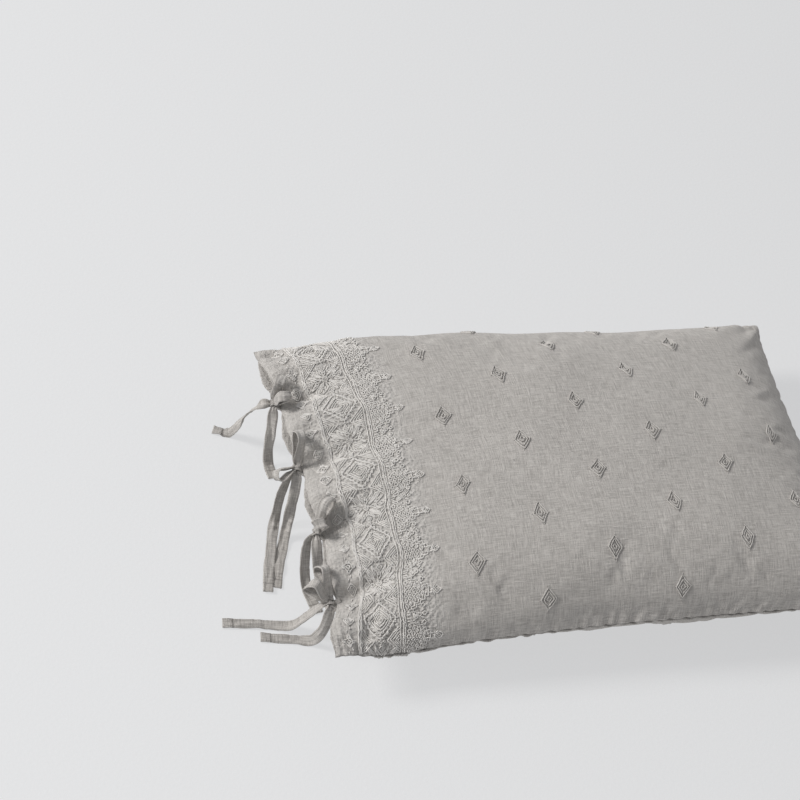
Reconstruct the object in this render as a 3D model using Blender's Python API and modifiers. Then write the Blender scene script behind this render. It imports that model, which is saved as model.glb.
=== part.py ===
"""A filled pillow sham that lies on its back: one cushion with an open, hemmed mouth at -X, which
four bows close. Each bow is two ties, one sewn to the front hem and one to the back hem.
Metres, +Z up. The origin is the centre of the flat underside, the face is up, the mouth is at -X."""

import math

import bmesh
import bpy
from mathutils import Matrix, Vector

# The cushion.
LENGTH = 0.676  # from corner to corner along X
WIDTH = 0.466  # from corner to corner along Y
SEAM_HEIGHT = 0.0656  # of the side seam above the floor
CROWN = 0.0828  # of the face above the seam
BELLY = 0.084  # of the back below the seam, before the floor flattens it
SEAM_TWIST = 0.0109  # the seam's rise at two opposite corners, and its fall at the other two
OPEN_DRAW = 0.0221  # how far each edge is drawn in at its middle
CLOSED_DRAW = 0.0142
SIDE_DRAW = 0.0108
OPEN_SHAPE = (1.665, 0.695)  # powers of the rounding along the length, towards the mouth
CLOSED_SHAPE = (3.31, 0.499)  # and towards the closed end
SIDE_SHAPE = (1.85, 0.336)  # and across
SHOULDER = 0.17  # the face is fuller beside the far side seam: that much less of the last power,
SHOULDER_NEAR = 0.024  # and that much less beside the near one,
SHOULDER_AT = -0.65  # most at this share of the half length,
SHOULDER_SPREAD = 0.48  # and lost over this much of it
BACK_TUCK = 0.18  # the back is tucked in under the side seams: that much more of the last power
CORNER_DROP = (-0.0034, -0.0109)  # how the far corner of the mouth hangs out and down
CORNER_REACH = 0.35  # as a share of the half length and half width
NEAR_LIFT = (0.006, 0.0075)  # how the near corner of the mouth is drawn in and up
NEAR_REACH = 0.13  # as a share of the half length and half width
FAR_LIFT = (-0.003, 0.010)  # how the far corner of the closed end is drawn in and up
FAR_REACH = 0.17
NEAR_SAG, NEAR_SAG_AT = 0.0065, -0.76  # how far the side seam sags beside that corner, and where
SETTLE = 0.005  # the height over which the back rounds into its flat spot
SEAM_HALF = 0.0012  # half the thickness of the closed end's seam

# The mouth.
HEM_THICK = 0.0022
HEM_FADE = 0.030  # the hem's own thickness is lost in the filling this far in
MOUTH_GAP = 0.0034  # between the hems, half-way between two bows
KNOT_GAP = 0.0010  # and at a bow
POCKET = 0.030  # how deep the mouth is open
LOBE_OUT = 0.008  # the hem swells out and up between the bows
LOBE_UP = 0.009
LOBE_FADE = 0.085
LOBE_SKEW = 0.75  # and each swelling hangs a little towards the near side
HEM_DRAW = 0.024  # the bows draw the hem in towards the near side seam,
HEM_DRAW_FROM = 0.3  # from this share of the half width on

# Soft folds in the face: where they start, as shares of the half length and half width, which way
# they run (degrees from +X towards +Y), how far, how deep, and their half width at the start.
KNOTS = (0.61, 0.17, -0.24, -0.66)  # the bows' places along the mouth, as shares of the half width
FOLDS = (
    # p, q, heading, length, depth, half width
    (-1, KNOTS[0], -14, 0.085, 0.0070, 0.007),
    (-1, KNOTS[0], 40, 0.050, 0.0045, 0.006),
    (-1, KNOTS[1], -3, 0.095, 0.0070, 0.007),
    (-1, KNOTS[1], -48, 0.050, 0.0045, 0.006),
    (-1, KNOTS[2], 16, 0.090, 0.0070, 0.007),
    (-1, KNOTS[2], -36, 0.060, 0.0045, 0.006),
    (-1, KNOTS[3], 12, 0.100, 0.0075, 0.007),
    (-1, KNOTS[3], -40, 0.065, 0.0050, 0.006),
    (-0.97, -0.93, 8, 0.070, 0.0050, 0.006),
    (-0.90, -0.98, 62, 0.060, 0.0045, 0.006),
    (-0.96, 0.95, -24, 0.075, 0.0045, 0.006),
    (0.97, 0.95, 212, 0.090, 0.0060, 0.007),
    (0.93, 0.98, 248, 0.060, 0.0040, 0.006),
    (0.97, -0.95, 146, 0.080, 0.0050, 0.007),
)
FOLD_SPREAD = 0.10  # how much wider a fold gets for each metre that it runs

# The mesh of the cushion.
SPAN_STEPS = 8  # between two bows
END_STEPS = 10  # between the last bow and the side seam
MOUTH_STEPS = 14  # rows of the mesh from the mouth to the middle, closest together at the mouth
MOUTH_CROWDING = 1.9
CLOSED_STEPS = 15
POCKET_STATIONS = (1.0, 0.55, 0.2, 0.0)  # shares of the mouth's depth, from its bottom out

# The ties.
TIE_WIDTH = 0.013
TIE_THICK = 0.0014
CORE_RADIUS = 0.0025  # the back tie, gathered where it goes through the knot
CORE_LENGTH = 0.0125
BAND_RADIUS = 0.0042  # the front tie, wrapped round it
BAND_THICK = 0.0012  # half its thickness
BAND_WIDE = 2.5  # its width over its thickness
GATHER = 0.4  # a ribbon's share of its width at the knot
STRAND = 0.0013  # from a loop's middle to each of its two strands at the knot
KNOT_OUT = 0.0085  # how far a knot stands out of the mouth
KNOT_UP = 0.002
SEWN_GAP = 0.0014
STEM_WIDTH = 0.008  # at the hem
STEM_GATHERED = 0.003  # at the knot
BACK_STEM_ASIDE = 0.0085  # the back tie is sewn on that far beside the front one
TAIL_LOW = TIE_THICK / 2 + 0.0001  # the middle of a ribbon that lies on the floor
KNOT_HEADING = (12, 4)  # of the gathered core through the knot: its heading and lift, in degrees
FACE_SLOPE = 38.5  # of the face beside the mouth, in degrees
CORE_GRIP = 0.001  # how far the back tie's ribbons reach into the ends of the core
LOOP_STEPS = 16
TAIL_STEPS = 3  # between two rows of a tail's table
GATHER_STEPS = 4  # a ribbon widens from the knot over this many steps

LINEN = (0.46, 0.43, 0.40, 1)


def clear_scene():
    for obj in list(bpy.data.objects):
        bpy.data.objects.remove(obj, do_unlink=True)


def new_collection(name):
    collection = bpy.data.collections.new(name)
    bpy.context.scene.collection.children.link(collection)
    return collection


def cloth_material(name, colour, roughness):
    material = bpy.data.materials.new(name)
    material.use_nodes = True
    shader = material.node_tree.nodes["Principled BSDF"]
    shader.inputs["Base Color"].default_value = colour
    shader.inputs["Roughness"].default_value = roughness
    shader.inputs["Metallic"].default_value = 0
    return material


# ---- The cushion's surface. p runs from -1 at the mouth to 1 at the closed end, and q from -1 to 1 across.


def lobe(q):
    """0 at each bow and at the side seams, 1 between them."""
    stops = sorted((-1, *KNOTS, 1))
    for low, high in zip(stops, stops[1:]):
        if q <= high:
            return math.sin(math.pi * ((q - low) / (high - low)) ** LOBE_SKEW) ** 2
    return 0.0


def hanging_corner(p, q):
    """1 at the far corner of the mouth, falling to 0 round it."""
    return math.exp(-(((p + 1) / CORNER_REACH) ** 2) - ((q - 1) / CORNER_REACH) ** 2)


def plan(p, q):
    drawn = OPEN_DRAW if p < 0 else CLOSED_DRAW
    x = p * (LENGTH / 2 - drawn * (1 - q * q))
    y = q * (WIDTH / 2 - SIDE_DRAW * (1 - p * p))
    drawn_hem = HEM_DRAW * max(0, HEM_DRAW_FROM - q) ** 2 * (1 - q * q) - LOBE_OUT * lobe(q)
    x += CORNER_DROP[0] * hanging_corner(p, q) + NEAR_LIFT[0] * lifted_corner(p, q)
    x += FAR_LIFT[0] * far_corner(p, q)
    return x + drawn_hem * near_mouth(p, LOBE_FADE), y


def lifted_corner(p, q):
    """1 at the near corner of the mouth, falling to 0 around it."""
    return math.exp(-(((p + 1) / NEAR_REACH) ** 2) - ((q + 1) / NEAR_REACH) ** 2)


def far_corner(p, q):
    """1 at the far corner of the closed end, falling to 0 around it."""
    return math.exp(-(((p - 1) / FAR_REACH) ** 2) - ((q - 1) / FAR_REACH) ** 2)


def near_mouth(p, reach):
    """1 at the mouth, falling smoothly to 0 at that distance from it."""
    share = min(1, (1 + p) * LENGTH / 2 / reach)
    return (1 - share) ** 2 * (1 + 2 * share)


def shoulder(p, q):
    most = SHOULDER if q > 0 else SHOULDER_NEAR
    return most * math.exp(-(((p - SHOULDER_AT) / SHOULDER_SPREAD) ** 2))


def swell(p, q, fuller=0.0):
    """The share of the full height: 0 at the seams, 1 at the crown."""
    power, root = OPEN_SHAPE if p < 0 else CLOSED_SHAPE
    along = (1 - abs(p) ** power) ** root
    across = (1 - abs(q) ** SIDE_SHAPE[0]) ** (SIDE_SHAPE[1] - fuller)
    return along * across


def fold_depth(x, y):
    """How far the folds press the face in at this place."""
    depth = 0.0
    for p, q, heading, length, deepest, half_width in FOLDS:
        from_x, from_y = plan(p, q)
        c, s = math.cos(math.radians(heading)), math.sin(math.radians(heading))
        along = (x - from_x) * c + (y - from_y) * s
        aside = (y - from_y) * c - (x - from_x) * s
        if -half_width < along < length:
            width = half_width + FOLD_SPREAD * max(along, 0)
            fade = 1 - max(along, 0) / length
            depth += deepest * fade * fade * (3 - 2 * fade) * math.exp(-((aside / width) ** 2))
    return depth


def seam_height(p, q):
    corners = CORNER_DROP[1] * hanging_corner(p, q) + NEAR_LIFT[1] * lifted_corner(p, q)
    corners -= NEAR_SAG * math.exp(-(((p - NEAR_SAG_AT) / 0.17) ** 2) - ((q + 1) / 0.35) ** 2)
    return SEAM_HEIGHT - SEAM_TWIST * p * q + corners + FAR_LIFT[1] * far_corner(p, q)


def mouth_gap(q):
    share = lobe(q) * (1 - abs(q) ** 8)
    return KNOT_GAP * (1 - abs(q) ** 8) + (MOUTH_GAP - KNOT_GAP) * share


def hem_half(q):
    """From the middle of the mouth to the outside of a hem."""
    return (mouth_gap(q) / 2 + HEM_THICK) * (1 - abs(q) ** 16) ** 0.5


def face(p, q):
    """The point of the front panel at (p, q)."""
    x, y = plan(p, q)
    full = swell(p, q, shoulder(p, q))
    z = seam_height(p, q) + CROWN * full + LOBE_UP * lobe(q) * near_mouth(p, LOBE_FADE)
    z += hem_half(q) * near_mouth(p, HEM_FADE) - fold_depth(x, y) * min(1, 6 * full)
    return Vector((x, y, z))


def settled(z):
    """The height z with the floor in its way, rounded over SETTLE."""
    if z >= SETTLE:
        return z
    return (z + SETTLE) ** 2 / (4 * SETTLE) if z > -SETTLE else 0.0


def back(p, q):
    x, y = plan(p, q)
    z = seam_height(p, q) - BELLY * swell(p, q, -BACK_TUCK) + LOBE_UP * lobe(q) * near_mouth(p, LOBE_FADE)
    return Vector((x, y, settled(z - hem_half(q) * near_mouth(p, HEM_FADE))))


def mouth_middle(q):
    x, y = plan(-1, q)
    return Vector((x, y, seam_height(-1, q) + LOBE_UP * lobe(q)))


def stations_across():
    """The values of q, with one at each bow and closer steps towards the side seams."""
    inner = sorted(KNOTS)
    values = [-1 + (1 + inner[0]) * (1 - math.cos(math.pi / 2 * i / END_STEPS)) for i in range(END_STEPS)]
    for low, high in zip(inner, inner[1:]):
        values += [low + (high - low) * i / SPAN_STEPS for i in range(SPAN_STEPS)]
    values += [inner[-1] + (1 - inner[-1]) * math.sin(math.pi / 2 * i / END_STEPS) for i in range(END_STEPS)]
    return values + [1.0]


def stations_along():
    """The values of p, close together at the mouth and at the closed end."""
    open_side = [-1 + (i / MOUTH_STEPS) ** MOUTH_CROWDING for i in range(MOUTH_STEPS)]
    closed = [math.sin(math.pi / 2 * i / CLOSED_STEPS) for i in range(CLOSED_STEPS + 1)]
    return open_side + closed


def pocket_ring(share, across):
    """One ring of the mouth's inside, at that share of its depth. Its two ends meet inside the side seams."""
    upper, lower = [], []
    for q in across:
        middle = mouth_middle(q)
        inset = Vector((share * POCKET, -math.copysign(HEM_THICK, q) * abs(q) ** 8, 0))
        rise = share * LOBE_UP * lobe(q) * 0.5
        gap = max(mouth_gap(q) / 2 * (1 - share), 0.0001) if abs(q) < 1 else 0
        upper.append(middle + inset + Vector((0, 0, gap - rise)))
        lower.append(middle + inset + Vector((0, 0, -gap - rise)))
    return upper, lower


def cushion_rings():
    """Pairs of rows across, upper and lower, from the bottom of the mouth out and on to the closed end."""
    across = stations_across()
    rings = [pocket_ring(share, across) for share in POCKET_STATIONS]
    for p in stations_along():
        rings.append(([face(p, q) for q in across], [back(p, q) for q in across]))
    upper, lower = rings[-1]
    lift = [Vector((0, 0, SEAM_HALF * (1 - abs(q) ** 16))) for q in across]
    rings[-1] = ([a + d for a, d in zip(upper, lift)], [b - d for b, d in zip(lower, lift)])
    return rings


def make_cushion(collection, material):
    """The whole sham as one closed surface: a loft of lens-shaped rings, from inside the mouth on."""
    mesh = bpy.data.meshes.new("sham")
    shape = bmesh.new()
    loops = []
    for upper, lower in cushion_rings():
        top = [shape.verts.new(point) for point in upper]
        bottom = [shape.verts.new(point) for point in lower[1:-1]]
        loops.append((top, [top[0], *bottom, top[-1]]))
    for (top_a, bottom_a), (top_b, bottom_b) in zip(loops, loops[1:]):
        for i in range(len(top_a) - 1):
            shape.faces.new((top_a[i], top_b[i], top_b[i + 1], top_a[i + 1]))
            shape.faces.new((bottom_a[i], bottom_a[i + 1], bottom_b[i + 1], bottom_b[i]))
    for top, bottom in (loops[0], loops[-1]):
        for i in range(len(top) - 1):
            corners = dict.fromkeys((top[i], top[i + 1], bottom[i + 1], bottom[i]))
            shape.faces.new(tuple(corners))
    bmesh.ops.recalc_face_normals(shape, faces=shape.faces)
    shape.to_mesh(mesh)
    shape.free()
    mesh.shade_smooth()
    mesh.materials.append(material)
    sham = bpy.data.objects.new("sham", mesh)
    collection.objects.link(sham)
    return sham


# ---- The ties.


def smooth_path(points, steps):
    """A smooth curve through the points, with that many steps between each two."""
    ends = [points[0] * 2 - points[1], *points, points[-1] * 2 - points[-2]]
    path = []
    for a, b, c, d in zip(ends, ends[1:], ends[2:], ends[3:]):
        for i in range(steps):
            t = i / steps
            path.append(0.5 * (2 * b + (c - a) * t + (2 * a - 5 * b + 4 * c - d) * t**2
                               + (3 * b - a - 3 * c + d) * t**3))
    return path + [points[-1]]


def ribbon(name, path, sides, widths, collection, thick=TIE_THICK):
    """A flat strip along the path. sides are the directions across it, and widths its widths."""
    mesh = bpy.data.meshes.new(name)
    shape = bmesh.new()
    rows = []
    for point, side, width in zip(path, sides, widths):
        half = side.normalized() * width / 2
        rows.append((shape.verts.new(point - half), shape.verts.new(point + half)))
    for (a, b), (c, d) in zip(rows, rows[1:]):
        shape.faces.new((a, b, d, c))
    shape.to_mesh(mesh)
    shape.free()
    strip = bpy.data.objects.new(name, mesh)
    collection.objects.link(strip)
    solid = strip.modifiers.new("cloth", "SOLIDIFY")
    solid.thickness = thick
    solid.offset = 0
    return strip


def gathered_widths(count, both_ends):
    """Widths of a ribbon that is gathered at the knot, where it starts and perhaps also ends."""
    widths = []
    for i in range(count):
        from_knot = min(i, count - 1 - i) if both_ends else i
        share = min(1, from_knot / GATHER_STEPS)
        widths.append(TIE_WIDTH * (GATHER + (1 - GATHER) * math.sin(math.pi / 2 * share)))
    return widths


def loop_ribbon(name, root, out, across, length, spread, collection):
    """A bow's loop: a teardrop that leaves the root along out, opens along across, and comes back."""
    side = out.cross(across)
    path = []
    for i in range(LOOP_STEPS + 1):
        turn = math.pi * i / LOOP_STEPS
        reach = length * math.sin(turn) ** 0.8 if 0 < i < LOOP_STEPS else 0
        open_by = spread / 2 * math.sin(2 * turn) * math.sin(turn) + STRAND * math.cos(turn)
        path.append(root + out * reach + across * open_by)
    return ribbon(name, path, [side] * len(path), gathered_widths(len(path), True), collection)


def tail_ribbon(name, points, facings, collection):
    """A free end through the points. facings are the directions across it, given at each point."""
    path = smooth_path(points, TAIL_STEPS)
    for point in path:
        point.z = max(point.z, TAIL_LOW)
    onward = [after - before for before, after in zip([path[0], *path], [*path[1:], path[-1]])]
    sides = [side - side.project(way) for side, way in zip(smooth_path(facings, TAIL_STEPS), onward)]
    for side in sides:
        side.z = 0
    return ribbon(name, path, sides, gathered_widths(len(path), False), collection)


def join(target, others):
    for other in others:
        union = target.modifiers.new("join " + other.name, "BOOLEAN")
        union.operation = "UNION"
        union.solver = "EXACT"
        union.object = other
        other.hide_render = True
        other.display_type = "WIRE"


def round_core(name, middle, axis, collection):
    """The gathered stretch of the back tie inside the knot."""
    mesh = bpy.data.meshes.new(name)
    shape = bmesh.new()
    bmesh.ops.create_cone(
        shape, cap_ends=True, segments=10, radius1=CORE_RADIUS, radius2=CORE_RADIUS, depth=CORE_LENGTH
    )
    shape.to_mesh(mesh)
    shape.free()
    core = bpy.data.objects.new(name, mesh)
    core.matrix_world = Matrix.Translation(middle) @ axis.to_track_quat("Z", "Y").to_matrix().to_4x4()
    collection.objects.link(core)
    return core


def knot_band(name, middle, axis, collection):
    """The turn of the front tie round the core: a torus, flattened into a band."""
    bpy.ops.mesh.primitive_torus_add(
        major_segments=14, minor_segments=6, major_radius=BAND_RADIUS, minor_radius=BAND_THICK
    )
    band = bpy.context.object
    band.name = name
    band.data.name = name
    band.data.transform(Matrix.Diagonal((1, 1, BAND_WIDE, 1)))
    band.matrix_world = Matrix.Translation(middle) @ axis.to_track_quat("Z", "Y").to_matrix().to_4x4()
    for old in list(band.users_collection):
        old.objects.unlink(band)
    collection.objects.link(band)
    return band


def edge_axes():
    """Directions on the face beside the mouth: along the hem, up the slope, and out of the cloth."""
    along = Vector((0, 1, 0))
    slope = math.radians(FACE_SLOPE)
    inward = Vector((math.cos(slope), 0, math.sin(slope)))
    return along, inward, inward.cross(along)


def heading_on_face(degrees, lift):
    """A direction at that angle from +Y towards the pillow's middle, raised off the cloth by lift degrees."""
    along, inward, out = edge_axes()
    flat = along * math.cos(math.radians(degrees)) + inward * math.sin(math.radians(degrees))
    return flat * math.cos(math.radians(lift)) + out * math.sin(math.radians(lift))


# One row a bow. Angles are in degrees: the loop's heading from +Y towards the pillow, its lift off the
# face, and the lean of its opening. Lengths are in metres.
BOWS = (
    # back tie's loop: heading, lift, lean, length, spread; front tie's loop: the same
    ((70, 38, 40, 0.036, 0.028), (120, 34, 65, 0.036, 0.014)),
    ((50, 40, 25, 0.046, 0.024), (-124, 40, 50, 0.027, 0.013)),
    ((70, 34, 65, 0.048, 0.020), (116, 50, 60, 0.034, 0.016)),
    ((16, 36, 40, 0.042, 0.030), (-20, 58, 45, 0.032, 0.022)),
)

# One table a tie, for its free end. Columns: x and y from the knot, the height above the floor, and the
# heading of the ribbon's width there, in degrees from +X towards +Y.
TAILS = {
    "tie_1_back": (
        (-0.003, -0.013, 0.066, 0),
        (-0.005, -0.023, 0.045, 0),
        (-0.006, -0.032, 0.016, 8),
        (-0.005, -0.042, 0.0008, 4),
        (-0.003, -0.06, 0.0008, 2),
    ),
    "tie_1_front": (
        (-0.014, 0.001, 0.07, 90),
        (-0.028, 0.004, 0.05, 92),
        (-0.038, 0.01, 0.02, 98),
        (-0.048, 0.016, 0.0008, 106),
        (-0.064, 0.023, 0.0008, 110),
    ),
    "tie_2_back": (
        (-0.003, -0.016, 0.062, 0),
        (-0.008, -0.031, 0.042, 0),
        (-0.014, -0.045, 0.013, -6),
        (-0.02, -0.062, 0.0008, -14),
        (-0.03, -0.09, 0.0008, -20),
        (-0.04, -0.124, 0.0008, -10),
    ),
    "tie_2_front": (
        (-0.009, -0.004, 0.058, 60),
        (-0.018, -0.013, 0.036, 40),
        (-0.024, -0.026, 0.014, 20),
        (-0.03, -0.045, 0.0052, -8),
        (-0.037, -0.072, 0.0036, -16),
        (-0.045, -0.102, 0.0034, -14),
        (-0.051, -0.13, 0.0034, -12),
    ),
    "tie_3_back": (
        (-0.002, -0.016, 0.058, 0),
        (0, -0.028, 0.04, 0),
        (0.004, -0.041, 0.016, 10),
        (0.01, -0.053, 0.0008, 20),
        (0.017, -0.07, 0.0008, 18),
    ),
    "tie_3_front": (
        (-0.01, -0.005, 0.054, 55),
        (-0.012, -0.016, 0.033, 35),
        (-0.011, -0.029, 0.01, 18),
        (-0.008, -0.046, 0.0008, 6),
        (-0.003, -0.07, 0.0008, 0),
    ),
    "tie_4_back": (
        (-0.003, -0.012, 0.055, 0),
        (-0.007, -0.017, 0.034, -10),
        (-0.015, -0.015, 0.01, -40),
        (-0.029, -0.009, 0.0008, -66),
        (-0.052, -0.004, 0.0008, -74),
        (-0.075, 0.0, 0.0008, -76),
    ),
    "tie_4_front": (
        (-0.013, 0, 0.052, 90),
        (-0.025, 0.004, 0.03, 90),
        (-0.037, 0.009, 0.008, 88),
        (-0.056, 0.015, 0.0008, 92),
        (-0.086, 0.02, 0.0008, 94),
        (-0.116, 0.024, 0.0008, 96),
    ),
}


def stem(name, start, end, hem_line, collection):
    """The sewn end of a tie, from the hem's edge to the knot."""
    path = [start.lerp(end, i / 4) for i in range(5)]
    sides = [hem_line.lerp(Vector((0, 1, 0)), i / 4) for i in range(5)]
    widths = [STEM_WIDTH + (STEM_GATHERED - STEM_WIDTH) * i / 4 for i in range(5)]
    return ribbon(name, path, sides, widths, collection)


def make_tie(name, body, knot, loop_row, root, sewn, tail_start, material, helpers):
    """A tie: its stretch in the knot (body), joined to its loop, its free end and its sewn end."""
    heading, lift, lean, length, spread = loop_row
    out = heading_on_face(heading, lift)
    _, _, normal = edge_axes()
    level = out.cross(normal).normalized()
    raised = level.cross(out).normalized()
    tilt = math.radians(lean)
    across = level * math.cos(tilt) + raised * math.sin(tilt)
    loop = loop_ribbon(name + " loop", root, out, across, length, spread, helpers)
    rows = TAILS[name]
    points = [tail_start] + [Vector((knot.x + x, knot.y + y, z)) for x, y, z, _ in rows]
    turns = [rows[0][3]] + [row[3] for row in rows]
    facings = [Vector((math.cos(math.radians(a)), math.sin(math.radians(a)), 0)) for a in turns]
    tail = tail_ribbon(name + " tail", points, facings, helpers)
    join(body, (loop, tail, stem(name + " stem", *sewn, helpers)))
    body.data.materials.append(material)
    body.data.shade_smooth()


def sewn_end(q, side):
    """Where a tie meets the hem at q, on the front (side 1) or the back (-1), and the hem's direction."""
    hem_line = (mouth_middle(q + 0.02) - mouth_middle(q - 0.02)).normalized()
    middle_of_hem = side * (mouth_gap(q) + HEM_THICK) / 2
    return mouth_middle(q) + Vector((-SEWN_GAP, 0, middle_of_hem)), hem_line


def make_bow(number, collection, helpers, material):
    q = KNOTS[number - 1]
    knot = mouth_middle(q) + Vector((-KNOT_OUT, 0, KNOT_UP))
    axis = heading_on_face(*KNOT_HEADING)
    back_row, front_row = BOWS[number - 1]

    name = f"tie_{number}_back"
    core = round_core(name, knot, axis, collection)
    reach = CORE_LENGTH / 2 - CORE_GRIP
    sewn, hem_line = sewn_end(q - BACK_STEM_ASIDE / (WIDTH / 2), -1)
    make_tie(name, core, knot, back_row, knot + axis * reach, (sewn, knot - axis * reach, hem_line),
             knot - axis * reach, material, helpers)

    name = f"tie_{number}_front"
    band = knot_band(name, knot, axis, collection)
    heading = heading_on_face(front_row[0], front_row[1])
    outward = (heading - axis * heading.dot(axis)).normalized()
    sewn, hem_line = sewn_end(q, 1)
    toward_hem = Vector((1, 0, 0)) - axis * axis.x
    first = TAILS[name][0]
    down = Vector((first[0], first[1], first[2] - knot.z))
    down = (down - axis * down.dot(axis)).normalized()
    make_tie(name, band, knot, front_row, knot + outward * BAND_RADIUS,
             (sewn, knot + toward_hem.normalized() * BAND_RADIUS, hem_line), knot + down * BAND_RADIUS,
             material, helpers)


def main():
    clear_scene()
    parts = new_collection("pillow sham")
    helpers = new_collection("joined pieces")
    helpers.hide_render = True
    make_cushion(parts, cloth_material("linen", LINEN, 0.9))
    tape = cloth_material("linen tape", LINEN, 0.85)
    for number in range(1, len(KNOTS) + 1):
        make_bow(number, parts, helpers, tape)


main()
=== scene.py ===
"""The looks of the pillow sham: linen with a weave, embroidery of raised thread, a hemmed mouth and its bows.

Metres, +Z up. The sham lies on its back, its mouth at -X. A place on the cloth is given in the flat
cloth's own measures: s from the hem to the closed end, and t from the middle line to the side seams."""

import math

import bmesh
import bpy
import numpy as np
from mathutils import Matrix, Vector


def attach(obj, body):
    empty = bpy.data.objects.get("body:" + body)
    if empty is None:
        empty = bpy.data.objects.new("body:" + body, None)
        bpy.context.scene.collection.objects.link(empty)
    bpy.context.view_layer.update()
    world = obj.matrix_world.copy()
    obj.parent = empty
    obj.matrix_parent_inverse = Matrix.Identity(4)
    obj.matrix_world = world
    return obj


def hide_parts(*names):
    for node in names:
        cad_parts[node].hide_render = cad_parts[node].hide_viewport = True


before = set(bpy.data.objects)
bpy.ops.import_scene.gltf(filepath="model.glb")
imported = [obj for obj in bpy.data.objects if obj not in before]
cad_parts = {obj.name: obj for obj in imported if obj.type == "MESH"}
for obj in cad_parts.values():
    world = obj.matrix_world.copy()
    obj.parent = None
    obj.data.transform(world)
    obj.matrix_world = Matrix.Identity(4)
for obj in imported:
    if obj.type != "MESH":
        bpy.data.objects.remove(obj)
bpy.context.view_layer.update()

# ---- The cushion's form, as in the CAD.

LENGTH = 0.676
WIDTH = 0.466
SEAM_HEIGHT = 0.0656
CROWN = 0.0828
BELLY = 0.084
SEAM_TWIST = 0.0109
OPEN_DRAW = 0.0221
CLOSED_DRAW = 0.0142
SIDE_DRAW = 0.0108
OPEN_SHAPE = (1.665, 0.695)
CLOSED_SHAPE = (3.31, 0.499)
SIDE_SHAPE = (1.85, 0.336)
SHOULDER = 0.17
SHOULDER_NEAR = 0.024
SHOULDER_AT = -0.65
SHOULDER_SPREAD = 0.48
BACK_TUCK = 0.18  # the back swells less towards its sides
# Corners that hang or stand up: p, q and reach of each, and how far it moves along X and up.
CORNERS = (
    (-1, 1, 0.35, -0.0034, -0.0109),
    (-1, -1, 0.13, 0.006, 0.0075),
    (1, 1, 0.17, -0.003, 0.010),
)
NEAR_SAG, NEAR_SAG_AT = 0.0065, -0.76  # the near side seam sinks there
SAG_SPREAD = (0.17, 0.35)
SETTLE = 0.005
HEM_THICK = 0.0022
HEM_FADE = 0.030
POCKET = 0.030
LOBE_OUT = 0.008
LOBE_UP = 0.009
LOBE_FADE = 0.085
LOBE_SKEW = 0.75
HEM_DRAW = 0.024
HEM_DRAW_FROM = 0.3
KNOTS = (0.61, 0.17, -0.24, -0.66)

FLAT_LENGTH = 0.69  # of one panel of the cloth, from the hem to the closed seam
FLAT_HALF = 0.26  # from its middle line to a side seam
FLOOR_LIFT = 0.0010  # the cloth's back lies that far above the floor, on its embroidery
ON_FLOOR = 0.0002  # nothing lies lower

BACK_MAP = 0.8  # the back panel lies that far from the front one in the flat map of the cloth

# Each stretch of the mouth between the side seams and the bows, from the near side (-Y) to the far one:
# how far it gapes, how far the back hem shows beyond the front one, and how far the front hem bulges out.
STOPS = np.array([-1.0, *sorted(KNOTS), 1.0])
GAPES = (0.0060, 0.0070, 0.0070, 0.0080, 0.0110)
BACK_SHOWS = (0.0015, 0.0025, 0.0030, 0.0045, 0.0030)
FRONT_OUT = (0.0080, 0.0080, 0.0080, 0.0080, 0.0015)
KNOT_GAP = 0.0010

# Soft folds: p and q of the start, the heading in degrees from +X to +Y, and the length, the depth and the
# half width in millimetres.
FACE_FOLDS = (
    (-1, KNOTS[0], -14, 85, 8.8, 4.9), (-1, KNOTS[0], 40, 50, 6.1, 4.5), (-1, KNOTS[0], -50, 45, 4.7, 3.4),
    (-1, KNOTS[1], -3, 95, 8.8, 4.9), (-1, KNOTS[1], -48, 50, 6.1, 4.5), (-1, KNOTS[1], 38, 60, 5.4, 3.4),
    (-1, KNOTS[2], 16, 90, 8.8, 4.9), (-1, KNOTS[2], -36, 60, 6.1, 4.5), (-1, KNOTS[2], 55, 40, 4.7, 3.4),
    (-1, KNOTS[3], 12, 100, 10.1, 5.3), (-1, KNOTS[3], -40, 65, 6.8, 4.5), (-1, KNOTS[3], 48, 50, 5.4, 3.4),
    (-0.97, -0.93, 8, 70, 5, 6), (-0.90, -0.98, 62, 60, 4.5, 6), (-0.96, 0.95, -24, 75, 4.5, 6),
    (0.97, 0.95, 212, 90, 6, 7), (0.93, 0.98, 248, 60, 4, 6), (0.97, -0.95, 146, 80, 5, 7),
)
BACK_FOLDS = (
    (-1, KNOTS[0], 8, 80, 6, 6.5), (-1, KNOTS[1], -12, 70, 6, 6), (-1, KNOTS[2], 10, 80, 6, 6.5),
    (-1, KNOTS[3], -6, 70, 5.5, 6), (0.97, 0.95, 216, 80, 5, 7), (0.97, -0.95, 140, 80, 5, 7),
    (-0.96, -0.95, 30, 70, 4.5, 6), (-0.96, 0.95, -30, 70, 4.5, 6),
)
FOLD_SPREAD = 0.10


def facing(degrees):
    """The cosine and the sine of an angle."""
    return math.cos(math.radians(degrees)), math.sin(math.radians(degrees))


def bell(distance, half_width):
    return np.exp(-((distance / half_width) ** 2))


def between(q, values):
    """The value of each stretch of the mouth, taken at q."""
    i = np.clip(np.searchsorted(STOPS, q, side="right") - 1, 0, len(STOPS) - 2)
    return np.asarray(values)[i]


def lobe(q):
    """0 at each bow and at the side seams, 1 between them."""
    low, high = between(q, STOPS[:-1]), between(q, STOPS[1:])
    return np.sin(np.pi * np.clip((q - low) / (high - low), 0, 1) ** LOBE_SKEW) ** 2


def near_mouth(p, reach):
    """1 at the hems, 0 from the reach inwards."""
    share = np.clip((1 + p) * LENGTH / 2 / reach, 0, 1)
    return (1 - share) ** 2 * (1 + 2 * share)


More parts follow.
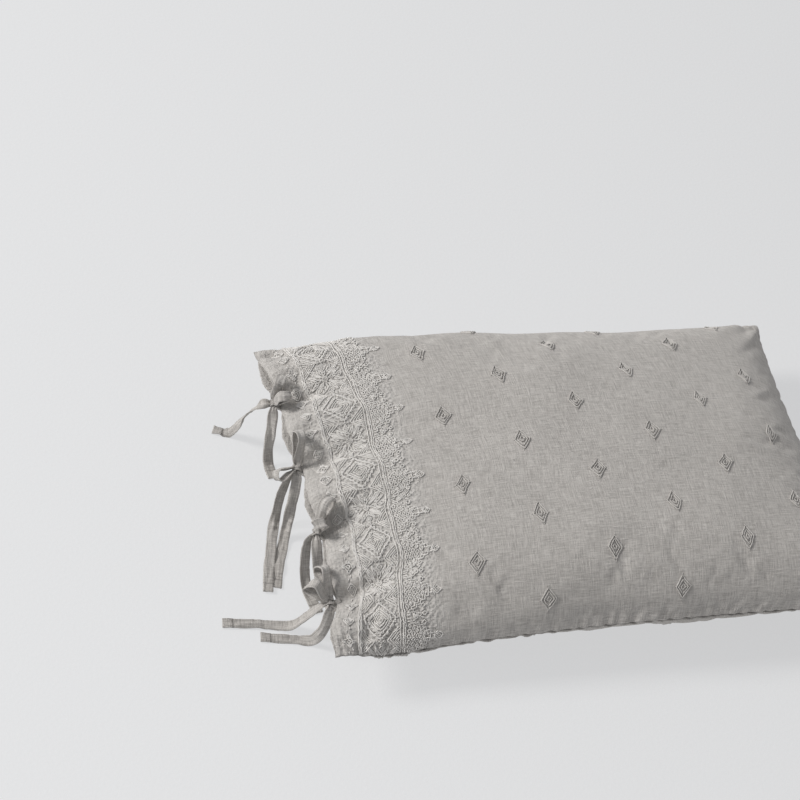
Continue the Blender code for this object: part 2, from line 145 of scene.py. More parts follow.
def at_corners(p, q, column):
    """How far the corners move a place along X (column 3) or up (column 4)."""
    return sum(row[column] * bell(p - row[0], row[2]) * bell(q - row[1], row[2]) for row in CORNERS)


def plan(p, q, side, drawn_in=True):
    """The place on the floor plan. Without drawn_in the hem runs straight, as in the flat cloth."""
    drawn = np.where(p < 0, OPEN_DRAW, CLOSED_DRAW)
    x = p * (LENGTH / 2 - drawn * (1 - q * q)) + at_corners(p, q, 3)
    y = q * (WIDTH / 2 - SIDE_DRAW * (1 - p * p))
    if not drawn_in:
        return x, y
    out = LOBE_OUT if side < 0 else between(q, FRONT_OUT)
    hem = HEM_DRAW * np.maximum(0, HEM_DRAW_FROM - q) ** 2 * (1 - q * q) - out * lobe(q)
    if side < 0:
        x = x - between(q, BACK_SHOWS) * lobe(q) * near_mouth(p, HEM_FADE)
    return x + hem * near_mouth(p, LOBE_FADE), y


def shoulder(p, q):
    return np.where(q > 0, SHOULDER, SHOULDER_NEAR) * bell(p - SHOULDER_AT, SHOULDER_SPREAD)


def swell(p, q, fuller):
    size = np.clip(np.abs(p), 0, 1)
    towards_mouth = (1 - size ** OPEN_SHAPE[0]) ** OPEN_SHAPE[1]
    towards_end = (1 - size ** CLOSED_SHAPE[0]) ** CLOSED_SHAPE[1]
    along = np.where(p < 0, towards_mouth, towards_end)
    return along * (1 - np.clip(np.abs(q), 0, 1) ** SIDE_SHAPE[0]) ** (SIDE_SHAPE[1] - fuller)


def mouth_gap(q):
    full = between(q, GAPES)
    return (KNOT_GAP + (full - KNOT_GAP) * lobe(q)) * (1 - np.abs(q) ** 8)


def hem_half(q):
    return (mouth_gap(q) / 2 + HEM_THICK) * np.sqrt(np.clip(1 - np.abs(q) ** 16, 0, 1))


def seam_height(p, q):
    sag = NEAR_SAG * bell(p - NEAR_SAG_AT, SAG_SPREAD[0]) * bell(q + 1, SAG_SPREAD[1])
    return SEAM_HEIGHT - SEAM_TWIST * p * q + at_corners(p, q, 4) - sag


def fold_depth(x, y, folds):
    depth = np.zeros(np.broadcast(x, y).shape)
    for p, q, heading, *sizes in folds:
        length, deepest, half_width = (size / 1000 for size in sizes)
        from_x, from_y = (float(v) for v in plan(np.float64(p), np.float64(q), 1))
        c, s = facing(heading)
        along = (x - from_x) * c + (y - from_y) * s
        aside = (y - from_y) * c - (x - from_x) * s
        ahead = np.maximum(along, 0)
        fade = np.clip(1 - ahead / length, 0, 1)
        start = np.clip(1 + along / half_width, 0, 1)
        depth += deepest * start * fade**2 * (3 - 2 * fade) * bell(aside, half_width + FOLD_SPREAD * ahead)
    return depth


def panel(p, q, side, folded=True):
    """Points of the front (side 1) or back (-1) panel, without the small wrinkles."""
    p, q = np.broadcast_arrays(np.asarray(p, float), np.asarray(q, float))
    x, y = plan(p, q, side, folded)
    full = swell(p, q, shoulder(p, q) if side > 0 else -BACK_TUCK)
    z = seam_height(p, q) + LOBE_UP * lobe(q) * near_mouth(p, LOBE_FADE)
    z = z + side * ((CROWN if side > 0 else BELLY) * full + hem_half(q) * near_mouth(p, HEM_FADE))
    if folded:
        folds = FACE_FOLDS if side > 0 else BACK_FOLDS
        z = z - side * fold_depth(x, y, folds) * np.minimum(1, 6 * full)
    if side < 0:
        z = z - FLOOR_LIFT
        flattened = np.where(z > -SETTLE, (z + SETTLE) ** 2 / (4 * SETTLE), 0)
        z = np.where(z >= SETTLE, z, flattened) + FLOOR_LIFT
    return np.stack([x, y, z], axis=-1)


# ---- From the flat cloth to the form: tables of (p, q) at even steps of the cloth.

TABLE_S, TABLE_T = 421, 361
FINE_P, FINE_Q = 501, 401  # steps of the lines that are measured


def lengths(points, axis=0):
    """How far along its own line each point lies."""
    total = np.cumsum(np.linalg.norm(np.diff(points, axis=axis), axis=-1), axis=axis)
    return np.concatenate([0 * np.take(total, [0], axis=axis), total], axis=axis)


def share_along(points, axis):
    length = lengths(points, axis)
    return length / np.take(length, [-1], axis=axis)


def flat_table(side):
    """At even steps of one panel's flat cloth: p and q of the form."""
    p = -np.cos(np.linspace(0, np.pi, FINE_P))
    q = -np.cos(np.linspace(0, np.pi, FINE_Q))
    rows = share_along(panel(p[:, None], q[None, :], side, False), 1)
    wanted = np.linspace(0, 1, TABLE_T)
    even_q = np.array([np.interp(wanted, row, q) for row in rows])
    columns = share_along(panel(p[:, None], even_q, side, False), 0)
    wanted = np.linspace(0, 1, TABLE_S)
    table_p = np.array([np.interp(wanted, column, p) for column in columns.T]).T
    table_q = np.array([np.interp(wanted, c, e) for c, e in zip(columns.T, even_q.T)]).T
    return table_p, table_q


TABLES = {side: flat_table(side) for side in (1, -1)}


def look_up(table, s, t):
    """The table's values at places on the flat cloth."""
    a = np.clip(s / FLAT_LENGTH, 0, 1) * (TABLE_S - 1)
    b = np.clip(t / FLAT_HALF * 0.5 + 0.5, 0, 1) * (TABLE_T - 1)
    i, j = np.minimum(a.astype(int), TABLE_S - 2), np.minimum(b.astype(int), TABLE_T - 2)
    a, b = a - i, b - j
    if table.ndim == 3:
        a, b = a[..., None], b[..., None]
    low = table[i, j] * (1 - b) + table[i, j + 1] * b
    high = table[i + 1, j] * (1 - b) + table[i + 1, j + 1] * b
    return low * (1 - a) + high * a


def waves(s, t, rows):
    """A sum of long soft waves: size, wave length, heading in degrees, and phase of each."""
    height = 0
    for size, length, heading, phase in rows:
        c, w = facing(heading)
        height += size * np.sin(2 * np.pi * (s * c + t * w) / length + phase)
    return height


LONG_WAVES = {
    1: ((0.0013, 0.31, 20, 0.4), (0.0010, 0.19, 75, 2.1), (0.0007, 0.13, -35, 4.0), (0.0005, 0.083, 50, 1.2)),
    -1: ((0.0012, 0.27, -25, 1.4), (0.0009, 0.17, 68, 3.3), (0.0006, 0.11, 30, 5.0)),
}
SEAM_FADE = 0.02  # long waves and gathers die out that near a seam
SEAM_DRAWN = 0.0013  # the size of the puckers along a side seam
END_DRAWN = 0.0011  # and along the closed seam
PLEAT_SIZE, PLEAT_PITCH = 0.0019, 0.0092
ROLL_SIZE, ROLL_FROM, ROLL_HALF = 0.0009, 0.0045, 0.0026
GROOVE_DEEP, GROOVE_HALF = 0.0024, 0.0017
GATHERS = ((0.0012, 0.031, 86, 0.0), (0.0010, 0.019, 98, 1.7), (0.0007, 0.0125, 80, 4.1))
PUCKERS = ((0.5, 0.017, 0, 0.3), (0.35, 0.026, 0, 2.2), (0.25, 0.0113, 0, 4.4))


def wrinkles(s, t, side):
    """How far the cloth stands off its smooth form, along its normal."""
    to_seam = FLAT_HALF - np.abs(t)
    to_end = FLAT_LENGTH - s
    off_seam = np.clip(to_seam / SEAM_FADE, 0, 1)
    height = waves(s, t, LONG_WAVES[side]) * (off_seam * np.clip(to_end / SEAM_FADE, 0, 1))
    at_edge = 0.3 + 0.7 * np.clip(s / 0.014, 0, 1)
    height += waves(s, t, GATHERS) * np.exp(-s / 0.055) * off_seam * at_edge
    # both seams pucker the cloth beside them
    twist = 1.7 * side + 2.6 * np.sign(t)
    beside = SEAM_DRAWN * waves(s + twist, t, PUCKERS) * np.exp(-to_seam / 0.009)
    height += beside * np.clip(s / 0.02, 0, 1)
    height += END_DRAWN * waves(t * 1.1 + side, s, PUCKERS) * np.exp(-to_end / 0.008)
    # small pleats along the hem, at the near corner, and fainter ones on the back
    into_corner = np.clip((-t - 0.205) / 0.03, 0, 1) * np.clip(s / 0.006, 0, 1)
    pleats = np.sin(2 * np.pi * (s + 0.10 * (t + FLAT_HALF)) / PLEAT_PITCH - 1.2)
    height += PLEAT_SIZE * pleats * into_corner * np.exp(-s / 0.03) * (1 if side > 0 else 0.3)
    # the cloth rolls up beside the seams and sinks into their groove
    ahead = np.clip(s / 0.012, 0, 1)
    roll = bell(to_seam - ROLL_FROM, ROLL_HALF) * ahead + bell(to_end - ROLL_FROM, ROLL_HALF)
    groove = bell(to_seam, GROOVE_HALF) * ahead + bell(to_end, GROOVE_HALF)
    return height + ROLL_SIZE * np.minimum(roll, 1) - GROOVE_DEEP * np.minimum(groove, 1)


def formed_cloth(s, t, side):
    return panel(*(look_up(table, s, t) for table in TABLES[side]), side)


# ---- The folds of the filled cover: a cloth simulation of the form, a little too large for its seams.

SIM_ROWS, SIM_COLUMNS = 106, 81
SIM_FRAMES = 20
SIM_CAP = 0.0035  # no point moves further than that
SIM_SMOOTH = 6  # grid steps: the broad swelling over more than that is left out
SIM_HEM = 1 / 60  # the folds fade in over that distance from the hem
SIM_RESTS = 0.004  # points lower than that stay on the floor
SIM_CLOTH = dict(
    quality=5, mass=0.15, tension_stiffness=15, compression_stiffness=15, shear_stiffness=5,
    bending_stiffness=0.4, vertex_group_mass="held", use_pressure=True, uniform_pressure_force=4.0,
    shrink_min=-0.014,  # the cloth is that much larger than its seams
)
FOLDS_MOVE = {}  # each side's table of how the simulation moves its points


def smoothed(values, reach):
    """The values averaged over the reach in grid steps, both ways."""
    weights = np.exp(-0.5 * (np.arange(-3 * reach, 3 * reach + 1) / reach) ** 2)
    weights /= weights.sum()
    for axis in (0, 1):
        margins = [(3 * reach, 3 * reach) if a == axis else (0, 0) for a in range(3)]
        padded = np.pad(values, margins, mode="reflect")
        steps = np.arange(values.shape[axis])
        values = sum(w * np.take(padded, steps + i, axis=axis) for i, w in enumerate(weights))
    return values


def curve(a, b, c, d, t):
    """A smooth curve (Catmull-Rom) from b to c, for t from 0 to 1, with a before them and d after them."""
    return 0.5 * (2 * b + (c - a) * t + (2 * a - 5 * b + 4 * c - d) * t**2 + (3 * b - a - 3 * c + d) * t**3)


def refined(values, count, axis):
    """More even steps along one axis, on a smooth curve through the old ones."""
    last = values.shape[axis] - 1
    at = np.linspace(0, last, count)
    i = np.minimum(at.astype(int), last - 1)
    shape = [1] * values.ndim
    shape[axis] = count
    around = [np.take(values, np.clip(i + step, 0, last), axis=axis) for step in (-1, 0, 1, 2)]
    return curve(*around, (at - i).reshape(shape))


def simulate_folds():
    """Blows the cover up under pressure with its seams and its resting place held; fills FOLDS_MOVE."""
    s, t = np.linspace(0, FLAT_LENGTH, SIM_ROWS), np.linspace(-FLAT_HALF, FLAT_HALF, SIM_COLUMNS)
    s, t = np.meshgrid(s, t, indexing="ij")
    front, back = formed_cloth(s, t, 1), formed_cloth(s, t, -1)
    front_at = np.arange(s.size).reshape(s.shape)
    shared = (np.abs(t) > FLAT_HALF - 1e-9) | (s > FLAT_LENGTH - 1e-9)
    back_at = np.where(shared, front_at, s.size + np.cumsum(~shared).reshape(s.shape) - 1)
    front[shared] = (front[shared] + back[shared]) / 2
    points = np.concatenate([front.reshape(-1, 3), back[~shared]])
    quads = grid_faces(*s.shape)
    faces = np.concatenate([front_at.reshape(-1)[quads], back_at.reshape(-1)[quads[:, ::-1]]])
    obj = placed("simulated", plain_mesh("simulated", points, faces))
    held = obj.vertex_groups.new(name="held")
    fixed = [front_at[shared], front_at[0], back_at[0], np.nonzero(points[:, 2] < SIM_RESTS)[0]]
    held.add(np.unique(np.concatenate(fixed)).tolist(), 1.0, "REPLACE")
    modifier = obj.modifiers.new("cloth", "CLOTH")
    for name, value in SIM_CLOTH.items():
        setattr(modifier.settings, name, value)
    modifier.settings.effector_weights.gravity = 0
    modifier.collision_settings.use_collision = False
    modifier.collision_settings.use_self_collision = False
    modifier.point_cache.frame_start, modifier.point_cache.frame_end = 1, SIM_FRAMES
    for number in range(1, SIM_FRAMES + 1):
        bpy.context.scene.frame_set(number)
    result = obj.evaluated_get(bpy.context.evaluated_depsgraph_get()).to_mesh()
    moved = np.empty(len(points) * 3)
    result.vertices.foreach_get("co", moved)
    moved = moved.reshape(-1, 3) - points
    bpy.data.objects.remove(obj)
    bpy.context.scene.frame_set(1)
    for side, at in ((1, front_at), (-1, back_at)):
        move = (moved[at] - smoothed(moved[at], SIM_SMOOTH)) * np.minimum(1, s / SIM_HEM)[..., None]
        move[shared] = 0
        far = np.linalg.norm(move, axis=-1, keepdims=True)
        move = move * np.minimum(1, SIM_CAP / np.maximum(far, 1e-9))
        FOLDS_MOVE[side] = refined(refined(move, TABLE_S, 0), TABLE_T, 1)


def smooth_cloth(s, t, side):
    """The form with its simulated folds."""
    points = formed_cloth(s, t, side)
    if side in FOLDS_MOVE:
        points = points + look_up(FOLDS_MOVE[side], s, t)
    return points


def unit(v):
    return v / np.maximum(np.linalg.norm(v, axis=-1, keepdims=True), 1e-12)


NORMAL_STEP = 0.0015


def cloth_normals(s, t, side):
    s0, s1 = (np.clip(s + step, 0, FLAT_LENGTH) for step in (-NORMAL_STEP, NORMAL_STEP))
    t0, t1 = (np.clip(t + step, -FLAT_HALF, FLAT_HALF) for step in (-NORMAL_STEP, NORMAL_STEP))
    ds = smooth_cloth(s1, t, side) - smooth_cloth(s0, t, side)
    dt = smooth_cloth(s, t1, side) - smooth_cloth(s, t0, side)
    return unit(np.cross(ds, dt)) * side


def cloth(s, t, side):
    """Points of the finished cloth and its outward normals."""
    normals = cloth_normals(s, t, side)
    points = smooth_cloth(s, t, side) + normals * wrinkles(s, t, side)[..., None]
    if side < 0:
        points[..., 2] = np.maximum(points[..., 2], FLOOR_LIFT)
    return points, normals


# ---- Meshes.


def grid_faces(rows, columns, first=0, flip=False, tube=False):
    """The faces of rows of points. In a tube each row is a ring."""
    i, j = np.meshgrid(np.arange(rows - 1), np.arange(columns - (not tube)), indexing="ij")
    a, b = first + i * columns + j, first + i * columns + (j + 1) % columns
    quads = np.stack([a, a + columns, b + columns, b], axis=-1).reshape(-1, 4)
    return quads[:, ::-1] if flip else quads


def placed(name, data):
    obj = bpy.data.objects.new(name, data)
    bpy.context.scene.collection.objects.link(obj)
    return obj


def plain_mesh(name, points, faces):
    mesh = bpy.data.meshes.new(name)
    points, faces = (values if isinstance(values, list) else values.tolist() for values in (points, faces))
    mesh.from_pydata(points, [], faces)
    return mesh


def make_object(name, points, faces, uv, material, weld=False):
    mesh = plain_mesh(name, points, faces)
    corners = np.empty(len(mesh.loops), np.int32)
    mesh.loops.foreach_get("vertex_index", corners)
    layer = mesh.uv_layers.new(name="flat_cloth")
    layer.data.foreach_set("uv", np.asarray(uv, np.float32)[corners].ravel())
    if weld:
        shape = bmesh.new()
        shape.from_mesh(mesh)
        bmesh.ops.remove_doubles(shape, verts=shape.verts, dist=1e-6)
        bmesh.ops.recalc_face_normals(shape, faces=shape.faces)
        shape.to_mesh(mesh)
        shape.free()
    mesh.shade_smooth()
    mesh.materials.append(material)
    return placed(name, mesh)


# ---- Materials.


class Value:
    """A socket that takes part in sums; each sum adds a node."""

    def __init__(self, nodes, socket):
        self.nodes, self.socket = nodes, socket

    def __add__(self, other):
        return self.nodes.math("ADD", self, other)

    def __sub__(self, other):
        return self.nodes.math("SUBTRACT", self, other)

    def __mul__(self, other):
        return self.nodes.math("MULTIPLY", self, other)

    def __abs__(self):
        return self.nodes.math("ABSOLUTE", self)


class Nodes:
    """A short way to write a node tree."""

    def __init__(self, owner, shader="Principled BSDF"):
        owner.use_nodes = True
        self.owner, self.tree = owner, owner.node_tree
        self.shader = self.tree.nodes[shader]

    def fill(self, node, inputs):
        for key, value in dict(inputs).items():
            if isinstance(value, Value):
                self.tree.links.new(value.socket, node.inputs[key])
            else:
                node.inputs[key].default_value = value
        return node

    def finish(self, inputs):
        self.fill(self.shader, inputs)
        return self.owner

    def node(self, kind, inputs=(), **settings):
        node = self.tree.nodes.new("ShaderNode" + kind)
        for key, value in settings.items():
            setattr(node, key, value)
        return self.fill(node, inputs)

    def add(self, kind, inputs=(), output=0, **settings):
        return Value(self, self.node(kind, inputs, **settings).outputs[output])

    def cloth_map(self):
        """The map in metres of cloth, and its two measures."""
        place = self.add("UVMap", uv_map="flat_cloth")
        return [place] + [self.add("SeparateXYZ", {"Vector": place}, i) for i in (0, 1)]

    def math(self, operation, *values):
        return self.add("Math", enumerate(values), operation=operation)

    def sine(self, value, length):
        return self.math("SINE", value * (2 * math.pi / length))

    def fade(self, value, low, high, kind="LINEAR"):
        """0 where the value is at low, 1 where it is at high."""
        limits = {"Value": value, "From Min": low, "From Max": high}
        return self.add("MapRange", limits, interpolation_type=kind)

    def noise(self, vector, scale, location=(0, 0, 0), detail=3.0, rough=0.6, dimensions="2D"):
        vector = self.add("Mapping", {"Vector": vector, "Scale": scale, "Location": location})
        inputs = {"Vector": vector, "Scale": 1.0, "Detail": detail, "Roughness": rough}
        return self.add("TexNoise", inputs, "Fac", noise_dimensions=dimensions)

    def mix(self, share, a, b):
        return self.add("Mix", {0: share, 6: a, 7: b}, 2, data_type="RGBA")

    def bump(self, height, distance, strength=1.0, **normal):
        return self.add("Bump", {"Height": height, "Distance": distance, "Strength": strength, **normal})


LINEN = ((0.375, 0.355, 0.334, 1), (0.480, 0.457, 0.431, 1), (0.580, 0.555, 0.525, 1))  # dark, mid and light
TAPE_LINEN = ((0.350, 0.331, 0.311, 1), (0.460, 0.438, 0.413, 1), (0.570, 0.546, 0.517, 1))
# the border's thread: partly its own slightly lighter tone, partly painted light standing in for its sheen
# and its more brightly lit slope
LIT_BORDER_THREAD = ((0.645, 0.622, 0.593, 1), (0.840, 0.816, 0.784, 1))  # dark and light
FIELD_THREAD = ((0.490, 0.468, 0.442, 1), (0.620, 0.597, 0.568, 1))
# painted light: the border's ground is painted lighter, as if its slope that faces the light were more lit
BORDER_PAINTED_LIGHT = (0.800, 0.774, 0.740, 1)  # between the stitches of the border
HOLLOW_SHADE = (0.20, 0.188, 0.175, 1)
SEAM_SHADE = (0.14, 0.131, 0.121, 1)
STITCH_SHADE = (0.17, 0.160, 0.148, 1)
THREAD_SHADE = (0.12, 0.113, 0.104, 1)
SHEEN_TINT = (0.95, 0.93, 0.90, 1)
WEAVE = 0.0015  # two threads of the cloth
TWIST = 0.0021  # one turn of the embroidery thread


def in_seam(n, u, v):
    """1 in the groove of the side seams and the closed seam, from the map of the sham's cloth."""
    nearest = abs(u - FLAT_LENGTH)
    for middle in (0.0, BACK_MAP):
        nearest = n.math("MINIMUM", nearest, abs(abs(v - middle) - FLAT_HALF))
    return n.fade(nearest, 0.0026, 0.0008) * n.fade(u, 0.006, 0.016)


def tape_marks(n, u, v):
    """1 along the stitching beside the tape's edges and at the fold of its hemmed end."""
    edge = n.fade(abs(abs(v) - 0.0050), 0.0007, 0.0002) * (n.sine(u, 0.0030) * 0.25 + 0.5)
    return n.math("MAXIMUM", edge, n.fade(abs(u - HEM_FOLD), 0.0012, 0.0004))


def linen(name, tones, relief=1.0, puckered=False):
    """Plain-weave linen: uneven threads both ways, slubs, a soft dry sheen. Puckered, its border also gets
    painted light, and painted shade in the hollows and the seams.
    """
    n = Nodes(bpy.data.materials.new(name))
    place, u, v = n.cloth_map()
    # threads of uneven thickness, long one way and fine the other
    threads = n.noise(place, (55, 900, 1)) + n.noise(place, (900, 55, 1), (3.7, 1.3, 0))
    slub_along = n.noise(place, (28, 420, 1), (9.1, 0, 0), 2, 0.5)
    slub_across = n.noise(place, (420, 28, 1), (0, 5.3, 0), 2, 0.5)
    slubs = (n.math("MAXIMUM", slub_along, slub_across) - 0.60) * 6.0
    slubs = n.math("MAXIMUM", n.math("SMOOTH_MIN", slubs, 1.0, 0.2), 0.0)
    patch = n.noise(place, (14, 14, 1), rough=0.5)
    tone = (threads - 1.0) * 2.2 + 0.5 + (patch - 0.5) * 0.35
    ramp = n.node("ValToRGB", {"Fac": tone})
    stops = ramp.color_ramp.elements
    stops[0].color, stops[1].color = tones[0], tones[2]
    stops.new(0.5).color = tones[1]
    colour = n.mix(slubs * 0.5, Value(n, ramp.outputs[0]), tones[2])
    weave = abs(n.sine(u, WEAVE) * n.sine(v, WEAVE))
    height = weave * 0.35 + threads + slubs * 0.6
    rumple = n.noise(place, (95, 95, 1), rough=0.55)
    soft = n.bump(rumple, 0.0012 * relief, 0.5)
    if puckered:
        # the embroidery draws the cloth into small puckers
        cell = {"Vector": place, "Scale": 210, "Smoothness": 0.6, "Randomness": 1.0}
        cells = n.add("TexVoronoi", cell, "Distance", voronoi_dimensions="2D", feature="SMOOTH_F1")
        pucker = cells + n.noise(place, (260, 260, 1)) * 0.7
        band = n.fade(u, 0.026, 0.040, "SMOOTHSTEP") * 0.65 + 0.35
        inside = n.fade(u, 0.145, 0.105, "SMOOTHSTEP") * band
        soft = n.bump(pucker * inside, 0.0034, Normal=soft)
        # painted light: the ground of the border is painted lighter, standing in for the light on its slope
        colour = n.mix(inside * 0.52, colour, BORDER_PAINTED_LIGHT)
        colour = n.mix(n.fade(pucker, 0.75, 0.40) * inside * 0.62, colour, HOLLOW_SHADE)
        colour = n.mix(in_seam(n, u, v) * 0.85, colour, SEAM_SHADE)
    else:
        colour = n.mix(tape_marks(n, u, v) * 0.7, colour, STITCH_SHADE)
    return n.finish({
        "Base Color": colour,
        "Normal": n.bump(height, 0.00045 * relief, Normal=soft),
        "Roughness": threads * 0.06 + 0.80,
        "Specular IOR Level": 0.25,
        "Sheen Weight": 0.25,
        "Sheen Roughness": 0.45,
        "Sheen Tint": SHEEN_TINT,
    })


def thread_material(name, dark, light):
    """Embroidery cotton: its map runs along the thread in x and round it in y, both in metres."""
    n = Nodes(bpy.data.materials.new(name))
    place, along, aside = n.cloth_map()
    stitch = abs(n.sine(along + aside * 1.2, TWIST))
    fibre = n.noise(place, (300, 3500, 1), detail=2, rough=0.5)
    shade = stitch * 0.55 + fibre * 0.45
    # the thread's two edges lie in their own shade
    edge = n.fade(abs(aside * 1000.0 - 0.75), 0.42, 0.72)
    return n.finish({
        "Base Color": n.mix(edge * 0.92, n.mix(shade, dark, light), THREAD_SHADE),
        "Normal": n.bump(shade, 0.0004, 0.8),
        "Roughness": fibre * 0.15 + 0.58,
        "Specular IOR Level": 0.35,
        "Sheen Weight": 0.15,
    })


# ---- The sham.


def crowded(parts):
    """Stations along a line: (end, step) pairs from 0 on."""
    found, at = [0.0], 0.0
    for end, step in parts:
        count = max(1, round((end - at) / step))
        found += [at + (end - at) * (i + 1) / count for i in range(count)]
        at = end
    return np.array(found)


POCKET_ROWS = (0.15, 0.4, 0.7, 1.0)  # shares of its depth
POCKET_APART = 0.0001  # its two walls, where they meet
POCKET_MAP = 0.07  # its length in the flat map of the cloth
LIP_TURNS = (0, 45, 90, 135, 180)
UP = np.array([0, 0, 1.0])


def pocket_inset(depth, q):
    """How far inside the mouth a row of the pocket lies: less and less towards the side seams."""
    size = np.abs(q)
    aside = -np.sign(q) * HEM_THICK * (1 + depth) * size**8
    return np.stack([depth * POCKET * (1 - size**10), aside, -depth * LOBE_UP * lobe(q) * 0.5], axis=-1)


def hem_rings(across):
    """From the front panel's edge over its hem, into the mouth, out over the back hem: rows of points."""
    s = np.zeros_like(across)
    edges = {side: cloth(s, across, side)[0] for side in (1, -1)}
    q = look_up(TABLES[1][1], s, across)
    thick = HEM_THICK * np.sqrt(np.clip(1.05 - np.abs(q) ** 16, 0, 1))

    def lip(side, degrees):
        c, s = facing(degrees)
        return edges[side] + np.stack([-s * thick / 2, 0 * thick, side * (c - 1) * thick / 2], axis=-1)

    inside = {side: lip(side, LIP_TURNS[-1]) for side in (1, -1)}
    half_gap = (inside[1] - inside[-1]) / 2

    def pocket(side, depth):
        apart = side * (half_gap * (1 - depth**1.5) + POCKET_APART * (np.abs(q) < 1)[:, None] * UP)
        return inside[-1] + half_gap + apart + pocket_inset(depth, q)

    rows = [lip(1, turn) for turn in LIP_TURNS] + [pocket(1, depth) for depth in POCKET_ROWS]
    rows += [pocket(-1, depth) for depth in POCKET_ROWS[::-1]]
    return rows + [lip(-1, turn) for turn in LIP_TURNS[::-1]]


def make_sham(material):
    along = crowded(((0.15, 0.0024), (0.66, 0.0031), (0.683, 0.0020), (FLAT_LENGTH, 0.0009)))
    half = crowded(((0.232, 0.0036), (0.253, 0.0017), (FLAT_HALF, 0.0008)))
    across = np.concatenate([-half[:0:-1], half])
    s, t = np.meshgrid(along, across, indexing="ij")
    front, back = (cloth(s, t, side)[0] for side in (1, -1))
    # both panels share the side seams and the closed seam
    for index in ((slice(None), 0), (slice(None), -1), (-1, slice(None))):
        front[index] = back[index] = (front[index] + back[index]) / 2
    rows = hem_rings(across)
    rows[0], rows[-1] = front[0], back[0]
    rows = np.array(rows)
    rows[:, 0], rows[:, -1] = front[0, 0], front[0, -1]
    inwards = np.stack([-POCKET_MAP * share_along(rows, 0), np.broadcast_to(across, rows.shape[:2])], axis=-1)
    grids = (
        (front, np.stack([s, t], axis=-1), False),
        (back, np.stack([s, t + BACK_MAP], axis=-1), True),
        (rows, inwards, True),
    )
    points, uv = (np.concatenate([grid[i].reshape(-1, 3 - i) for grid in grids]) for i in (0, 1))
    faces, first = [], 0
    for grid, _, flip in grids:
        faces.append(grid_faces(*grid.shape[:2], first, flip))
        first += grid.shape[0] * grid.shape[1]
    return make_object("sham_cloth", points, np.concatenate(faces), uv, material, weld=True)


# ---- Embroidery: lines in centimetres of the flat cloth, u from the hem and v along it.


def lozenge(u, v, ru, rv):
    return [(u - ru, v), (u, v + rv), (u + ru, v), (u, v - rv), (u - ru, v)]


def stepped(u, v, ru, rv, steps):
    """A lozenge whose sides go in steps, as in counted work."""
    corners = lozenge(u, v, ru, rv)
    line = [corners[0]]
    for (a, b), (c, d) in zip(corners, corners[1:]):
        across_first = len(line) > 1 and (c > a) != (d > b)
        for i in range(steps):
            turn = (i, i + 1) if across_first else (i + 1, i)
            line += [(a + (c - a) * x / steps, b + (d - b) * y / steps) for x, y in (turn, (i + 1, i + 1))]
    return line


def turned_line(u, v, heading, line):
    """A line drawn along +u from (0, 0), moved to (u, v) and turned to the heading in degrees."""
    c, s = facing(heading)
    return [(u + x * c - y * s, v + x * s + y * c) for x, y in line]


def vee(u, v, heading, size):
    """A chevron that points along the heading."""
    return turned_line(u, v, heading, [(-size, -size), (0, 0), (-size, size)])


def flower(u, v, r):
    places = [(u + x * r * 0.72, v + y * r * 0.72) for x, y in ((1, 0), (-1, 0), (0, 1), (0, -1))]
    return [lozenge(u, v, r * 0.30, r * 0.30)] + [lozenge(*at, r * 0.28, r * 0.28) for at in places]


def tick(u, v, du, dv):
    return [(u, v), (u + du, v + dv)]


def zigzag(u, size=0.0, pitch=0.4):
    """A line along the whole of the hem."""
    count = round(2 * EDGE / pitch)
    return [(u + size * (-1) ** i, -EDGE + 2 * EDGE * i / count) for i in range(count + 1)]


def nested(u, v, ru, rv, pitch):
    """Lozenges one inside the other."""
    return [lozenge(u, v, ru * size, rv * size) for size in np.arange(1, 0.12, -pitch / ru)]


def half_lozenge(edge, v, reach, size):
    return [(edge, v - size), (edge + reach, v), (edge, v + size)]


def leaf(u, v, heading, start, end, half):
    """A long narrow lozenge that points away from (u, v)."""
    return turned_line(u, v, heading, lozenge((start + end) / 2, 0, (end - start) / 2, half))


def lozenge_unit(u, v):
    lines = [stepped(u, v, 2.28, 2.72, 6), lozenge(u, v, 2.02, 2.38)]
    lines += [stepped(u, v, 1.66, 1.95, 5), lozenge(u, v, 1.34, 1.58)]
    ticks = [tick(u + 1.72 * x, v + 0.42 * y, 0.26 * x, 0.20 * y) for x in (1, -1) for y in (1, -1)]
    return lines + nested(u, v, 1.02, 1.20, 0.33) + ticks


def star_unit(u, v):
    lines = nested(u, v, 0.40, 0.44, 0.22)
    for heading in (45, 135, 225, 315):
        lines += [leaf(u, v, heading, 0.50, 2.75, 0.28), leaf(u, v, heading, 0.80, 2.25, 0.08)]
    for heading in (0, 90, 180, 270):
        c, s = facing(heading)
        lines.append(leaf(u, v, heading, 0.52, 1.45, 0.24))
        lines.append(vee(u + 1.05 * c, v + 1.05 * s, heading + 180, 0.713))
        lines += nested(u + 1.82 * c, v + 1.82 * s, 0.36, 0.36, 0.22)
        lines += [leaf(u, v, heading + turn, 1.02, 2.20, 0.13) for turn in (-24, 24)]
    return lines


def gap_unit(u, v):
    """Between a lozenge and a star: nested half lozenges at both edges of the band, and a flower."""
    lines = []
    for edge, inward in ((u - 2.30, 1), (u + 2.30, -1)):
        for size in (1.62, 1.28, 0.94, 0.60, 0.28):
            lines.append(half_lozenge(edge, v, inward * size * 0.98, size))
    return lines + flower(u, v, 0.56)


def stepped_point(u, v, size, steps=7):
    """A stepped triangle that points into the field from the line at u."""
    reach, line = size * 1.36, [(u, v - size)]
    for i in range(1, steps + 1):
        line += [(u + reach * i / steps, v - size * (1 - j / steps)) for j in (i - 1, i)]
    return line + [(a, 2 * v - b) for a, b in reversed(line[:-1])]


